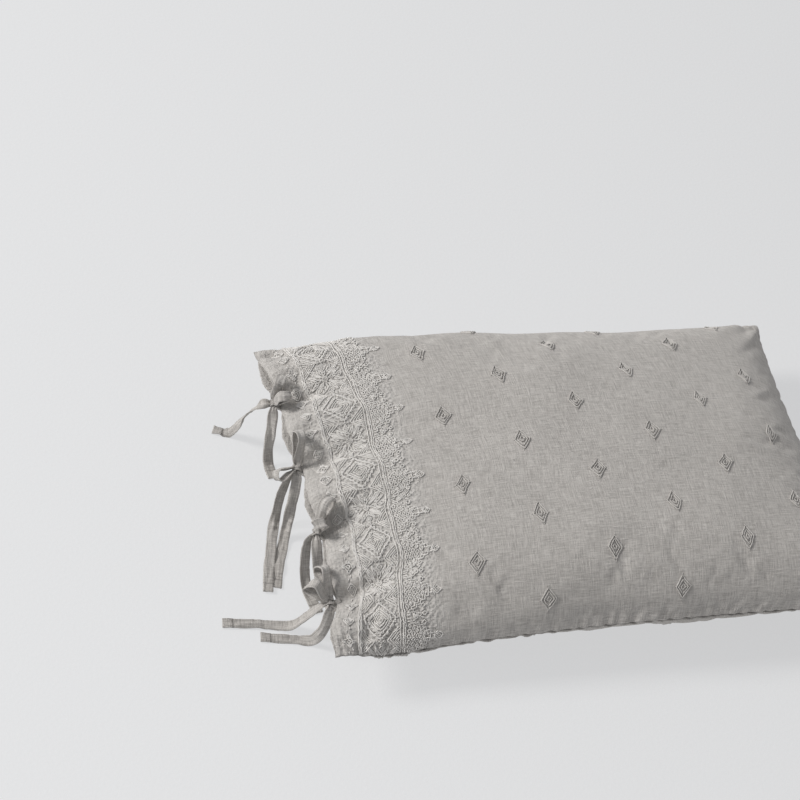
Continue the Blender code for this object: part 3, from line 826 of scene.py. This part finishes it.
def pendant(u, v):
    """A stepped triangle filled with small lozenges, and its tip."""
    lines = [stepped_point(u, v, size) for size in (2.46, 2.14)]
    for row in range(5):
        count = 6 - row
        for i in range(count):
            a, b = u + 0.30 + row * 0.46, v + (i - (count - 1) / 2) * 0.60
            if row and i in (0, count - 1):
                lines.append(tick(a - 0.2, b - 0.2, 0.4, 0.4))
            lines.append(lozenge(a, b, 0.21, 0.25))
    lines += [lozenge(u + 3.86, v, 0.46, 0.44), lozenge(u + 3.86, v, 0.20, 0.19)]
    for side in (1, -1):
        lines += [
            tick(u + 3.05, v + 0.16 * side, 0.34, 0.30 * side),
            tick(u + 3.38, v + 0.10 * side, 0.30, 0.52 * side),
            lozenge(u + 2.10, v + 1.62 * side, 0.25, 0.27),
            lozenge(u + 1.10, v + 2.42 * side, 0.28, 0.26),
        ]
    return lines + [tick(u + 3.10, v, 0.32, 0)]


BAND_MIDDLE = 6.30
REPEAT = 10.6
EDGE = 25.6  # the embroidery stops that near the side seams
HEM_ROW = 2.45


def band_lines():
    """The band between its two double lines, and the row of small motifs beside the hem."""
    lines = [zigzag(u) for u in (3.62, 3.92, 8.68, 9.02)]
    lines.append(zigzag(3.77, 0.05, 0.42))
    for k in range(-3, 4):
        v = k * REPEAT
        lines += lozenge_unit(BAND_MIDDLE, v) + star_unit(BAND_MIDDLE, v + REPEAT / 2)
        for aside in (REPEAT / 4, REPEAT * 3 / 4):
            lines += gap_unit(BAND_MIDDLE, v + aside)
    for k in range(-10, 11):
        v = k * REPEAT / 4
        if k % 2:
            lines += flower(HEM_ROW, v, 0.78) + [lozenge(HEM_ROW, v, 0.62, 0.62)]
        else:
            lines += nested(HEM_ROW, v, 0.66, 0.66, 0.26)
        lines += [tick(HEM_ROW + 0.2 * side, v + REPEAT / 8, 0.0, 0.42 * side) for side in (1, -1)]
    return lines


def pendant_lines():
    lines = [zigzag(9.22, 0.04, 0.42)]
    for k in range(-6, 6):
        v = (k + 0.5) * REPEAT / 2
        lines += pendant(9.36, v)
        lines += [lozenge(u, v + REPEAT / 4, 0.24, 0.25) for u in (10.35, 10.95, 11.55)]
        lines += [tick(11.1, v + REPEAT / 4 + 0.35 * side, 0.5, 0.3 * side) for side in (1, -1)]
    return lines


FIRST_COLUMN = 18.07
COLUMN_STEP = 8.31
ROW_STEP = 5.34
DIAMOND = ((0.92, 1.42), (0.60, 0.94), (0.26, 0.40))


def field_lines():
    lines = []
    for k in range(6):
        u = FIRST_COLUMN + COLUMN_STEP * k
        for row in (-3, -1, 1, 3) if k % 2 == 0 else (-4, -2, 0, 2, 4):
            v = row * ROW_STEP
            lines += [lozenge(u, v, ru, rv) for ru, rv in DIAMOND]
            for side in (1, -1):
                lines += [tick(u, v + side * 1.44, 0, side * 0.22), tick(u + side * 0.94, v, side * 0.18, 0)]
    return lines


def clipped(lines):
    """The runs of each line that stay within the edge."""
    kept = []
    for line in lines:
        runs = [[]]
        for point in line:
            if abs(point[1]) <= EDGE:
                runs[-1].append(point)
            else:
                runs.append([])
        kept += [run for run in runs if len(run) > 1]
    return kept


THREAD_SEGMENT = 0.0030
THREAD_WIDTH, THREAD_RISE = 0.0015, 0.0019
THREAD_DRIFT = 0.00018
PROFILE = ((-0.5, -0.35), (-0.30, 0.80), (0.30, 0.80), (0.5, -0.35))


def hand_drawn(at):
    """The slight drift of work that is drawn and sewn by hand, and more of it near one side seam."""
    u, v = at.T
    at = at - np.stack([0.0070 * np.clip((-v - 0.12) / 0.12, 0, 1) ** 1.5, 0 * v], axis=1)
    return at + np.stack([
        0.0007 * np.sin(v / 0.0071 + 1.0) + 0.0006 * np.sin(u / 0.0046 + v / 0.011),
        0.0007 * np.sin(u / 0.0059 + 0.4) + 0.0006 * np.sin(v / 0.0052 - u / 0.013 + 2.0),
    ], axis=1)


def onward(path, closed):
    """The direction of the path at each of its points."""
    if not closed:
        return unit(np.gradient(path, axis=0))
    ring = np.concatenate([path[-2:-1], path, path[1:2]])
    return unit(ring[2:] - ring[:-2])


def embroidery(name, lines, side, material):
    """One mesh of raised threads that lie on the cloth along the lines."""
    chance = np.random.default_rng(len(lines) * 7 + side)
    runs, bounds = [], [0]
    for line in lines:
        corners = np.array(line) / 100
        at = [corners[0]]
        for a, b in zip(corners, corners[1:]):
            count = max(1, math.ceil(np.linalg.norm(b - a) / THREAD_SEGMENT))
            at += [a + (b - a) * (i + 1) / count for i in range(count)]
        shift = chance.normal(0, THREAD_DRIFT, (len(at), 2))
        if np.allclose(at[0], at[-1]):
            shift[-1] = shift[0]
        runs.append(hand_drawn(np.array(at) + shift))
        bounds.append(bounds[-1] + len(at))
    centres, normals = cloth(*np.concatenate(runs).T, side)
    sizes = THREAD_WIDTH * (1 + chance.normal(0, 0.07, len(centres)))
    heights = THREAD_RISE * (1 + chance.normal(0, 0.10, len(centres)))
    points, faces, uv, ends = [], [], [], []
    m = len(PROFILE)
    for first, last in zip(bounds, bounds[1:]):
        centre, normal, size, high = (values[first:last] for values in (centres, normals, sizes, heights))
        closed = np.linalg.norm(centre[0] - centre[-1]) < 1e-7
        if closed:
            size[-1], high[-1] = size[0], high[0]
        else:
            size[[0, -1]] *= 0.55
            high[[0, -1]] *= 0.4
            ends += [[first * m + j for j in range(m)][::-1], [(last - 1) * m + j for j in range(m)]]
        aside = unit(np.cross(normal, onward(centre, closed)))
        rows = [centre + aside * (size * a)[:, None] + normal * (high * h)[:, None] for a, h in PROFILE]
        points.append(np.stack(rows, axis=1).reshape(-1, 3))
        around = np.arange(m) * THREAD_WIDTH / 3
        uv.append(np.stack(np.meshgrid(lengths(centre), around, indexing="ij"), axis=-1).reshape(-1, 2))
        faces.append(grid_faces(len(centre), m, first * m, tube=True)[:, [0, 3, 2, 1]])
    points = np.concatenate(points)
    if side < 0:
        points[:, 2] = np.maximum(points[:, 2], ON_FLOOR)
    return make_object(name, points, np.concatenate(faces).tolist() + ends, np.concatenate(uv), material)


# ---- The ties: linen tape, each sewn to a hem at one end, with a loop, its part of the knot and a free end.

TIE_WIDTH = 0.013
TAPE = 0.0011  # its thickness
CORE_LENGTH = 0.0125
CORE_GRIP = 0.003  # the ends of the back tie's loop and tail lie that far inside it
BESIDE = 0.0085 / (WIDTH / 2)  # from the back tie's stitches to the front one's, in q
BAND_RADIUS = 0.0040
STRAND = 0.0013
KNOT_OUT = 0.0085
KNOT_UP = 0.002
KNOT_HEADING = (12, 4)
FACE_SLOPE = 38.5
TAPE_STEP = 0.0016
TAPE_COLUMNS = np.linspace(-1, 1, 11)
HEM_FOLD = 0.012  # at the free end
KNOT_SHARE, KNOT_REACH = 0.42, 0.012  # how narrow the tape is at its knot, and how far from it
KNOT_BAND = 0.0086  # the width of what goes round the knot
STEM_WIDTHS = (0.010, 0.0048)  # at the hem and at the knot

# Heading from +Y towards the pillow, lift off the face and lean of the opening, in degrees; length,
# spread and droop in metres; and the tape's twist at the far end of the loop, in degrees.
BOWS = (
    ((70, 38, 40, 0.036, 0.028, 0.003, 20), (120, 34, 65, 0.036, 0.014, 0.004, -15)),
    ((50, 40, 25, 0.046, 0.024, 0.003, 25), (-124, 40, 50, 0.027, 0.013, 0.003, -20)),
    ((70, 34, 65, 0.048, 0.020, 0.003, -10), (116, 50, 60, 0.034, 0.016, 0.004, 20)),
    ((16, 36, 40, 0.042, 0.030, 0.002, 15), (-20, 58, 45, 0.032, 0.022, 0.003, -20)),
)

# Each free end: x and y from the knot and the height above the floor in millimetres, and the heading of
# its width in degrees.
TAILS = {
    "tie_1_back": (
        (-3, -13, 66, 0), (-5, -23, 45, 0), (-6, -32, 16, 8), (-5, -42, 0.8, 4), (-3, -60, 0.8, 2),
    ),
    "tie_1_front": (
        (-14, 1, 70, 90), (-28, 4, 50, 92), (-38, 10, 20, 98), (-48, 16, 0.8, 106), (-64, 23, 0.8, 110),
    ),
    "tie_2_back": (
        (-3, -16, 62, 0), (-8, -31, 42, 0), (-14, -45, 13, -6), (-20, -62, 0.8, -14), (-30, -90, 0.8, -20),
        (-40, -124, 0.8, -10),
    ),
    "tie_2_front": (
        (-9, -4, 58, 60), (-18, -13, 36, 40), (-24, -26, 14, 20), (-30, -45, 5.2, -8),
        (-37, -72, 3.6, -16), (-45, -102, 3.4, -14), (-51, -130, 3.4, -12),
    ),
    "tie_3_back": (
        (-2, -16, 58, 0), (0, -28, 40, 0), (4, -41, 16, 10), (10, -53, 0.8, 20), (17, -70, 0.8, 18),
    ),
    "tie_3_front": (
        (-10, -5, 54, 55), (-12, -16, 33, 35), (-11, -29, 10, 18), (-8, -46, 0.8, 6), (-3, -70, 0.8, 0),
    ),
    "tie_4_back": (
        (-3, -12, 55, 0), (-7, -17, 34, -10), (-15, -15, 10, -40), (-29, -9, 0.8, -66),
        (-52, -4, 0.8, -74), (-75, 0, 0.8, -76),
    ),
    "tie_4_front": (
        (-13, 0, 52, 90), (-25, 4, 30, 90), (-37, 9, 8, 88), (-56, 15, 0.8, 92), (-86, 20, 0.8, 94),
        (-116, 24, 0.8, 96),
    ),
}


def smooth_rows(rows):
    """Even steps along a smooth curve through the rows; their first three columns are the place."""
    rows = np.asarray(rows, float)
    ends = np.concatenate([rows[:1] * 2 - rows[1:2], rows, rows[-1:] * 2 - rows[-2:-1]])
    t = np.linspace(0, 1, 24, endpoint=False)[:, None]
    found = [curve(*four, t) for four in zip(ends, ends[1:], ends[2:], ends[3:])]
    found = np.concatenate([*found, rows[-1:]])
    length = lengths(found[:, :3])
    even = np.linspace(0, length[-1], max(6, round(length[-1] / TAPE_STEP)) + 1)
    return np.stack([np.interp(even, length, column) for column in found.T], axis=1)


def tape(path, sides, widths, seed, free_end=False, closed=False, crease=1.0, cup=0.22):
    """A stretch of tape along the path: (points, faces, uv, length). sides are the directions across it."""
    path, widths = np.asarray(path, float), np.asarray(widths, float)[:, None]
    length = lengths(path)
    way = onward(path, closed)
    sides = np.asarray(sides, float)
    sides = unit(sides - way * (sides * way).sum(1, keepdims=True))
    out = np.cross(sides, way)
    a, along = TAPE_COLUMNS[None, :], length[:, None]
    phase = np.random.default_rng(seed).uniform(0, 2 * np.pi, 6)

    def swing(reach, which, extra=0.0):
        return np.sin(along / reach + extra + phase[which])

    half = widths / 2 * (1 + 0.035 * swing(0.009, 0) + 0.02 * swing(0.0041, 1))
    ridge_at = 0.45 * swing(0.019, 2)
    ridge = bell(a - ridge_at, 0.22) * (0.55 + 0.45 * swing(0.0125, 3))
    ridge2 = bell(a + ridge_at + 0.25, 0.16) * (0.5 + 0.5 * swing(0.0085, 4))
    # a lengthwise fold that turns over now and then, a slight cup and small rucks
    fold = (1 - np.minimum(np.abs(a - 0.5 * ridge_at) / 0.8, 1)) * (swing(0.030, 5) + 0.5 * swing(0.013, 0))
    rucks = swing(0.0019, 2, 2.5 * a * swing(0.011, 1)) * swing(0.0105, 3) ** 2
    height = crease * (0.0010 * ridge - 0.0008 * ridge2 + 0.0026 * fold + 0.00035 * rucks)
    height += cup * (a**2 - 0.33) * half * swing(0.026, 5)
    height += 0.0019 * np.clip(1 - widths / TIE_WIDTH, 0, 1) * np.cos(2.5 * np.pi * a + phase[0])
    thick = TAPE / 2 * np.where(np.abs(a) > 0.72, 1.6, 1.0) * np.sqrt(np.clip(1.06 - a**12, 0.12, 1))
    if free_end:
        from_end = length[-1] - along
        thick = thick * np.where(from_end < HEM_FOLD, 1.55, 1.0)
        height = height * np.clip(from_end / 0.02, 0.25, 1)
    middle = path[:, None, :] + sides[:, None, :] * (half * a)[..., None]
    top, bottom = (middle + out[:, None, :] * (height + turn * thick)[..., None] for turn in (1, -1))
    ring = np.concatenate([top, bottom[:, ::-1]], axis=1)
    if free_end:
        ring[..., 2] += np.maximum(ON_FLOOR - ring[..., 2].min(axis=1), 0)[:, None]
    n, m = ring.shape[:2]
    across = np.concatenate([TAPE_COLUMNS, TAPE_COLUMNS[::-1]]) * TIE_WIDTH / 2
    from_hem = length[-1] - along if free_end else 1 + along
    uv = np.stack(np.broadcast_arrays(from_hem, across[None, :]), axis=-1).reshape(-1, 2)
    faces = grid_faces(n, m, tube=True).tolist()
    if not closed:
        for row, back in ((0, 1), ((n - 1) * m, -1)):
            faces += [[row + k for k in (j, j + 1, m - 2 - j, m - 1 - j)][::back] for j in range(m // 2 - 1)]
    return ring.reshape(-1, 3), faces, uv, length[-1]


def joined(parts):
    points, faces, uv, length = zip(*parts)
    firsts = np.cumsum([0] + [len(some) for some in points]).tolist()
    moved = [[corner + first for corner in face] for first, some in zip(firsts, faces) for face in some]
    return np.concatenate(points), moved, np.concatenate(uv), float(sum(length))


def turned(vector, axis, degrees):
    return np.array(Matrix.Rotation(math.radians(degrees), 3, Vector(axis)) @ Vector(vector))


def gathered(count, both):
    """The widths of tape that is drawn together at its knot, or at both ends."""
    from_knot = np.arange(count) * TAPE_STEP
    if both:
        from_knot = np.minimum(from_knot, from_knot[::-1])
    share = np.clip(from_knot / KNOT_REACH, 0, 1)
    return TIE_WIDTH * (KNOT_SHARE + (1 - KNOT_SHARE) * np.sin(np.pi / 2 * share))


FACE_AXES = np.array([0.0, 1.0, 0.0]), np.array([facing(FACE_SLOPE)[0], 0, facing(FACE_SLOPE)[1]])
FACE_OUT = np.cross(FACE_AXES[1], FACE_AXES[0])


def on_face(heading, lift):
    """A direction from +Y towards the pillow, lifted off the slope of its face."""
    (c, s), (flat, off) = facing(heading), facing(lift)
    return (FACE_AXES[0] * c + FACE_AXES[1] * s) * flat + FACE_OUT * off


def mouth_middle(q):
    p, q = np.float64(-1), np.float64(q)
    x, y = plan(p, q, 1)
    return np.array([float(x), float(y), float(seam_height(p, q) + LOBE_UP * lobe(q))])


def loop_part(root, row, seed):
    heading, lift, lean, length, spread, droop, twist = row
    out = on_face(heading, lift)
    level = unit(np.cross(out, FACE_OUT))
    raised = unit(np.cross(level, out))
    across = level * facing(lean)[0] + raised * facing(lean)[1]
    side = np.cross(out, across)
    turn = np.linspace(0, np.pi, 25)
    reach = length * np.sin(turn) ** 0.8
    open_by = spread / 2 * np.sin(2 * turn) * np.sin(turn) + STRAND * np.cos(turn)
    rows = root + out * reach[:, None] + across * open_by[:, None]
    path = smooth_rows(rows - UP * droop * (reach[:, None] / length) ** 2)
    share = np.linspace(0, 1, len(path))
    sides = [turned(side, out, twist * math.sin(math.pi * s) + 8 * math.sin(2 * math.pi * s)) for s in share]
    return tape(path, sides, gathered(len(path), True), seed)


def tail_part(start, knot, rows, seed):
    rows = np.array(rows) / (1000, 1000, 1000, 1)
    rows[:, :2] += knot[:2]
    rows[:, 3] = np.radians(rows[:, 3])
    path = smooth_rows(np.concatenate([[[*start, rows[0, 3]]], rows]))
    centre, height = path[:, :3].copy(), path[:, 2]
    length = np.arange(len(path)) * TAPE_STEP
    hanging = np.clip((height - 0.004) / 0.02, 0, 1)
    # what hangs turns to and fro about its own length, and what lies has soft waves
    turn = path[:, 3] + hanging * np.radians(16 * np.sin(length / 0.012 + seed) - 24)
    roll = (0.55 * np.sin(length / 0.017 + seed) + 0.45 * np.sin(length / 0.009 + seed * 1.7)) * hanging
    sides = np.stack([np.cos(turn), np.sin(turn), roll], axis=1)
    centre[:, 2] += 0.0018 * np.clip(1 - height / 0.006, 0, 1) * np.sin(length / 0.011 + seed * 2.1) ** 2
    return tape(centre, sides, gathered(len(path), False), seed, free_end=True)


def band_part(knot, axis, seed):
    start = unit(np.cross(axis, UP))
    path = [knot + turned(start, axis, angle) * BAND_RADIUS * (1 + 0.06 * facing(2 * angle)[1])
            for angle in np.linspace(0, 360, 29)]
    return tape(path, [axis] * 29, [KNOT_BAND] * 29, seed, closed=True, crease=0.8, cup=0.0)


def stem_part(start, end, hem_line, seed):
    share = np.linspace(0, 1, 8)[:, None]
    path, sides = start + (end - start) * share, hem_line * (1 - share) + FACE_AXES[0] * share
    return tape(path, sides, np.linspace(*STEM_WIDTHS, 8), seed, crease=0.4, cup=0.0)


def sewn_end(q, side):
    hem_line = unit(mouth_middle(q + 0.02) - mouth_middle(q - 0.02))
    middle = side * (float(mouth_gap(np.float64(q))) + HEM_THICK) / 2
    return mouth_middle(q) + np.array([0.004, 0, middle]), hem_line


def on_band(knot, axis, direction, share):
    """A place that share of the way out to the band round the knot, in the direction."""
    return knot + unit(direction - axis * direction.dot(axis)) * BAND_RADIUS * share


def make_ties(material):
    for number, (back_row, front_row) in enumerate(BOWS, 1):
        q = KNOTS[number - 1]
        knot = mouth_middle(q) + np.array([-KNOT_OUT, 0, KNOT_UP])
        axis = on_face(*KNOT_HEADING)
        half = axis * (CORE_LENGTH / 2 - CORE_GRIP)

        name = f"tie_{number}_back"
        sewn, hem_line = sewn_end(q - BESIDE, -1)
        finish_tie(name, [
            stem_part(sewn, knot - half, hem_line, 40 + number),
            loop_part(knot + half, back_row, 10 + number),
            tail_part(knot - half, knot, TAILS[name], 20 + number),
        ], material)

        name = f"tie_{number}_front"
        sewn, hem_line = sewn_end(q, 1)
        down = np.array(TAILS[name][0][:3]) / 1000 - UP * knot[2]
        finish_tie(name, [
            stem_part(sewn, on_band(knot, axis, np.array([1.0, 0, 0]), 1), hem_line, 50 + number),
            band_part(knot, axis, 60 + number),
            loop_part(on_band(knot, axis, on_face(*front_row[:2]), 0.7), front_row, 30 + number),
            tail_part(on_band(knot, axis, down, 0.7), knot, TAILS[name], 70 + number),
        ], material)


def finish_tie(name, parts, material):
    points, faces, uv, length = joined(parts)
    tie = make_object(name + "_tape", points, faces, uv, material)
    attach(tie, "root")
    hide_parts(name)


# ---- The stage, the light and the camera.


FLOOR_TONES = ((0.17, 0.171, 0.172, 1), (0.20, 0.201, 0.202, 1))
FLOOR_HALF = 9
GLOW = 0.558  # how brightly the floor shines of itself at the middle
GLOW_FALL, GLOW_REACH = -0.065, 0.7  # and how that changes for each metre along X, so far each way


def make_stage():
    n = Nodes(bpy.data.materials.new("pale_surface"))
    place = n.add("TexCoord", output="Object")
    fleck = n.noise(place, (220, 220, 220), dimensions="3D")
    along = n.math("MAXIMUM", n.add("SeparateXYZ", {"Vector": place}), -GLOW_REACH)
    surface = n.finish({
        "Base Color": n.mix(fleck, *FLOOR_TONES),
        "Normal": n.bump(fleck, 0.002, 0.25),
        "Roughness": 0.95,
        "Emission Color": (0.983, 0.988, 1.0, 1),
        "Emission Strength": n.math("MINIMUM", along, GLOW_REACH) * GLOW_FALL + GLOW,
    })
    corners = [(x * FLOOR_HALF, y * FLOOR_HALF, 0) for x, y in ((-1, -1), (1, -1), (1, 1), (-1, 1))]
    mesh = plain_mesh("floor", corners, [(0, 1, 2, 3)])
    mesh.materials.append(surface)
    placed("floor", mesh)


def make_lights():
    """A wide far light, strength in W/m2, and a room that is lighter towards +Y."""
    data = bpy.data.lights.new("window", "SUN")
    data.energy, data.angle, data.color = 2.35, math.radians(18), (1.0, 0.985, 0.965)
    light = placed("window", data)
    light.rotation_mode = "QUATERNION"
    light.rotation_quaternion = (-Vector((-0.75, 0.28, 0.60))).to_track_quat("-Z", "Y")
    n = Nodes(bpy.data.worlds.new("studio"), "Background")
    towards_y = n.add("SeparateXYZ", {"Vector": n.add("TexCoord", output="Generated")}, 1)
    light = {"Color": (0.965, 0.975, 1.0, 1), "Strength": towards_y * 0.12 + 0.455}
    bpy.context.scene.world = n.finish(light)


AZIMUTH, ELEVATION, ROLL = -23.045, 47.078, 14.058
DISTANCE, LENS = 3.10287, 114.77
LOOKS_AT = (0, 0, 0.0847)
CAMERA_RIGHT, CAMERA_UP = -0.19998, 0.08371


def make_camera():
    (ca, sa), (ce, se), (cr, sr) = facing(AZIMUTH), facing(ELEVATION), facing(ROLL)
    back = Vector((sa * ce, -ca * ce, se))
    right = Vector((0, 0, 1)).cross(back).normalized()
    up = back.cross(right)
    right, up = right * cr + up * sr, up * cr - right * sr
    data = bpy.data.cameras.new("camera")
    data.lens, data.sensor_width = LENS, 36
    camera = placed("camera", data)
    camera.matrix_world = Matrix((right, up, back)).transposed().to_4x4()
    camera.location = Vector(LOOKS_AT) + back * DISTANCE + right * CAMERA_RIGHT + up * CAMERA_UP
    bpy.context.scene.camera = camera


def main():
    make_camera()
    make_stage()
    make_lights()
    bpy.context.scene.view_settings.view_transform = "Standard"
    simulate_folds()
    sham = make_sham(linen("washed_linen", LINEN, puckered=True))
    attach(sham, "root")
    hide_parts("sham")
    # partly painted light: the border's thread is painted lighter than the field's thread
    lit_border_thread = thread_material("lit_border_thread", *LIT_BORDER_THREAD)
    field_thread = thread_material("field_thread", *FIELD_THREAD)
    work = (
        ("border", clipped(band_lines()), lit_border_thread),
        ("pendants", clipped(pendant_lines()), lit_border_thread),
        ("diamonds", field_lines(), field_thread),
    )
    for side, word in ((1, "front"), (-1, "back")):
        for kind, lines, thread in work:
            piece = embroidery(f"{kind}_{word}", lines, side, thread)
            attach(piece, "root")
    make_ties(linen("linen_tape", TAPE_LINEN, 0.7))


main()
